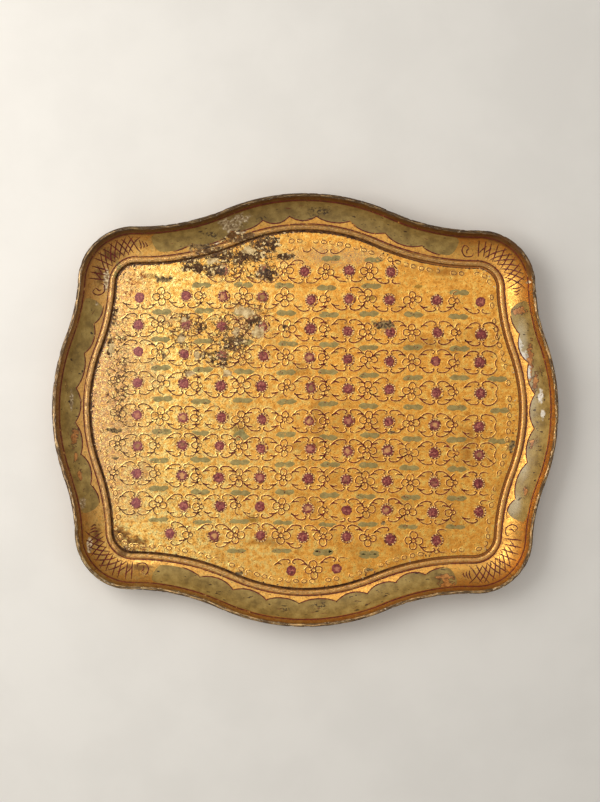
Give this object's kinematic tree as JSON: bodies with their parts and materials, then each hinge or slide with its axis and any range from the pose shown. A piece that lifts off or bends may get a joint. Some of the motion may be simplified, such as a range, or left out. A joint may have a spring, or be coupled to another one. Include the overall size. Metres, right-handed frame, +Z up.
{
  "type": "serving tray",
  "caption": "Shallow gilded wood serving tray with a serpentine outline, a deep coved rim with a rolled lip, and a flat patterned field held in a rebate.",
  "frame": {"origin": "middle of the flat underside, at the height of the surface that the tray stands on", "axes": "+X along the tray's longer side to the right, +Y to the back edge, +Z up out of the tray"},
  "size_m": [0.46, 0.394, 0.028],
  "materials": {
    "gilt_rim": "aged gold leaf over red bole, satin, worn at the edges, with painted green panels",
    "gilt_field": "aged gold leaf, satin, with a painted and punched pattern",
    "bare_wood": "sawn, unfinished",
    "pin_steel": "dull, lightly rusted"
  },
  "bodies": {
    "root": {"rail_back": "gilt_rim", "rail_front": "gilt_rim", "rail_left": "gilt_rim", "rail_right": "gilt_rim", "base_panel": "gilt_field", "mitre_spline_back_left": "bare_wood", "mitre_spline_back_right": "bare_wood", "mitre_spline_front_left": "bare_wood", "mitre_spline_front_right": "bare_wood", "panel_pins": "pin_steel"}
  },
  "joints": []
}
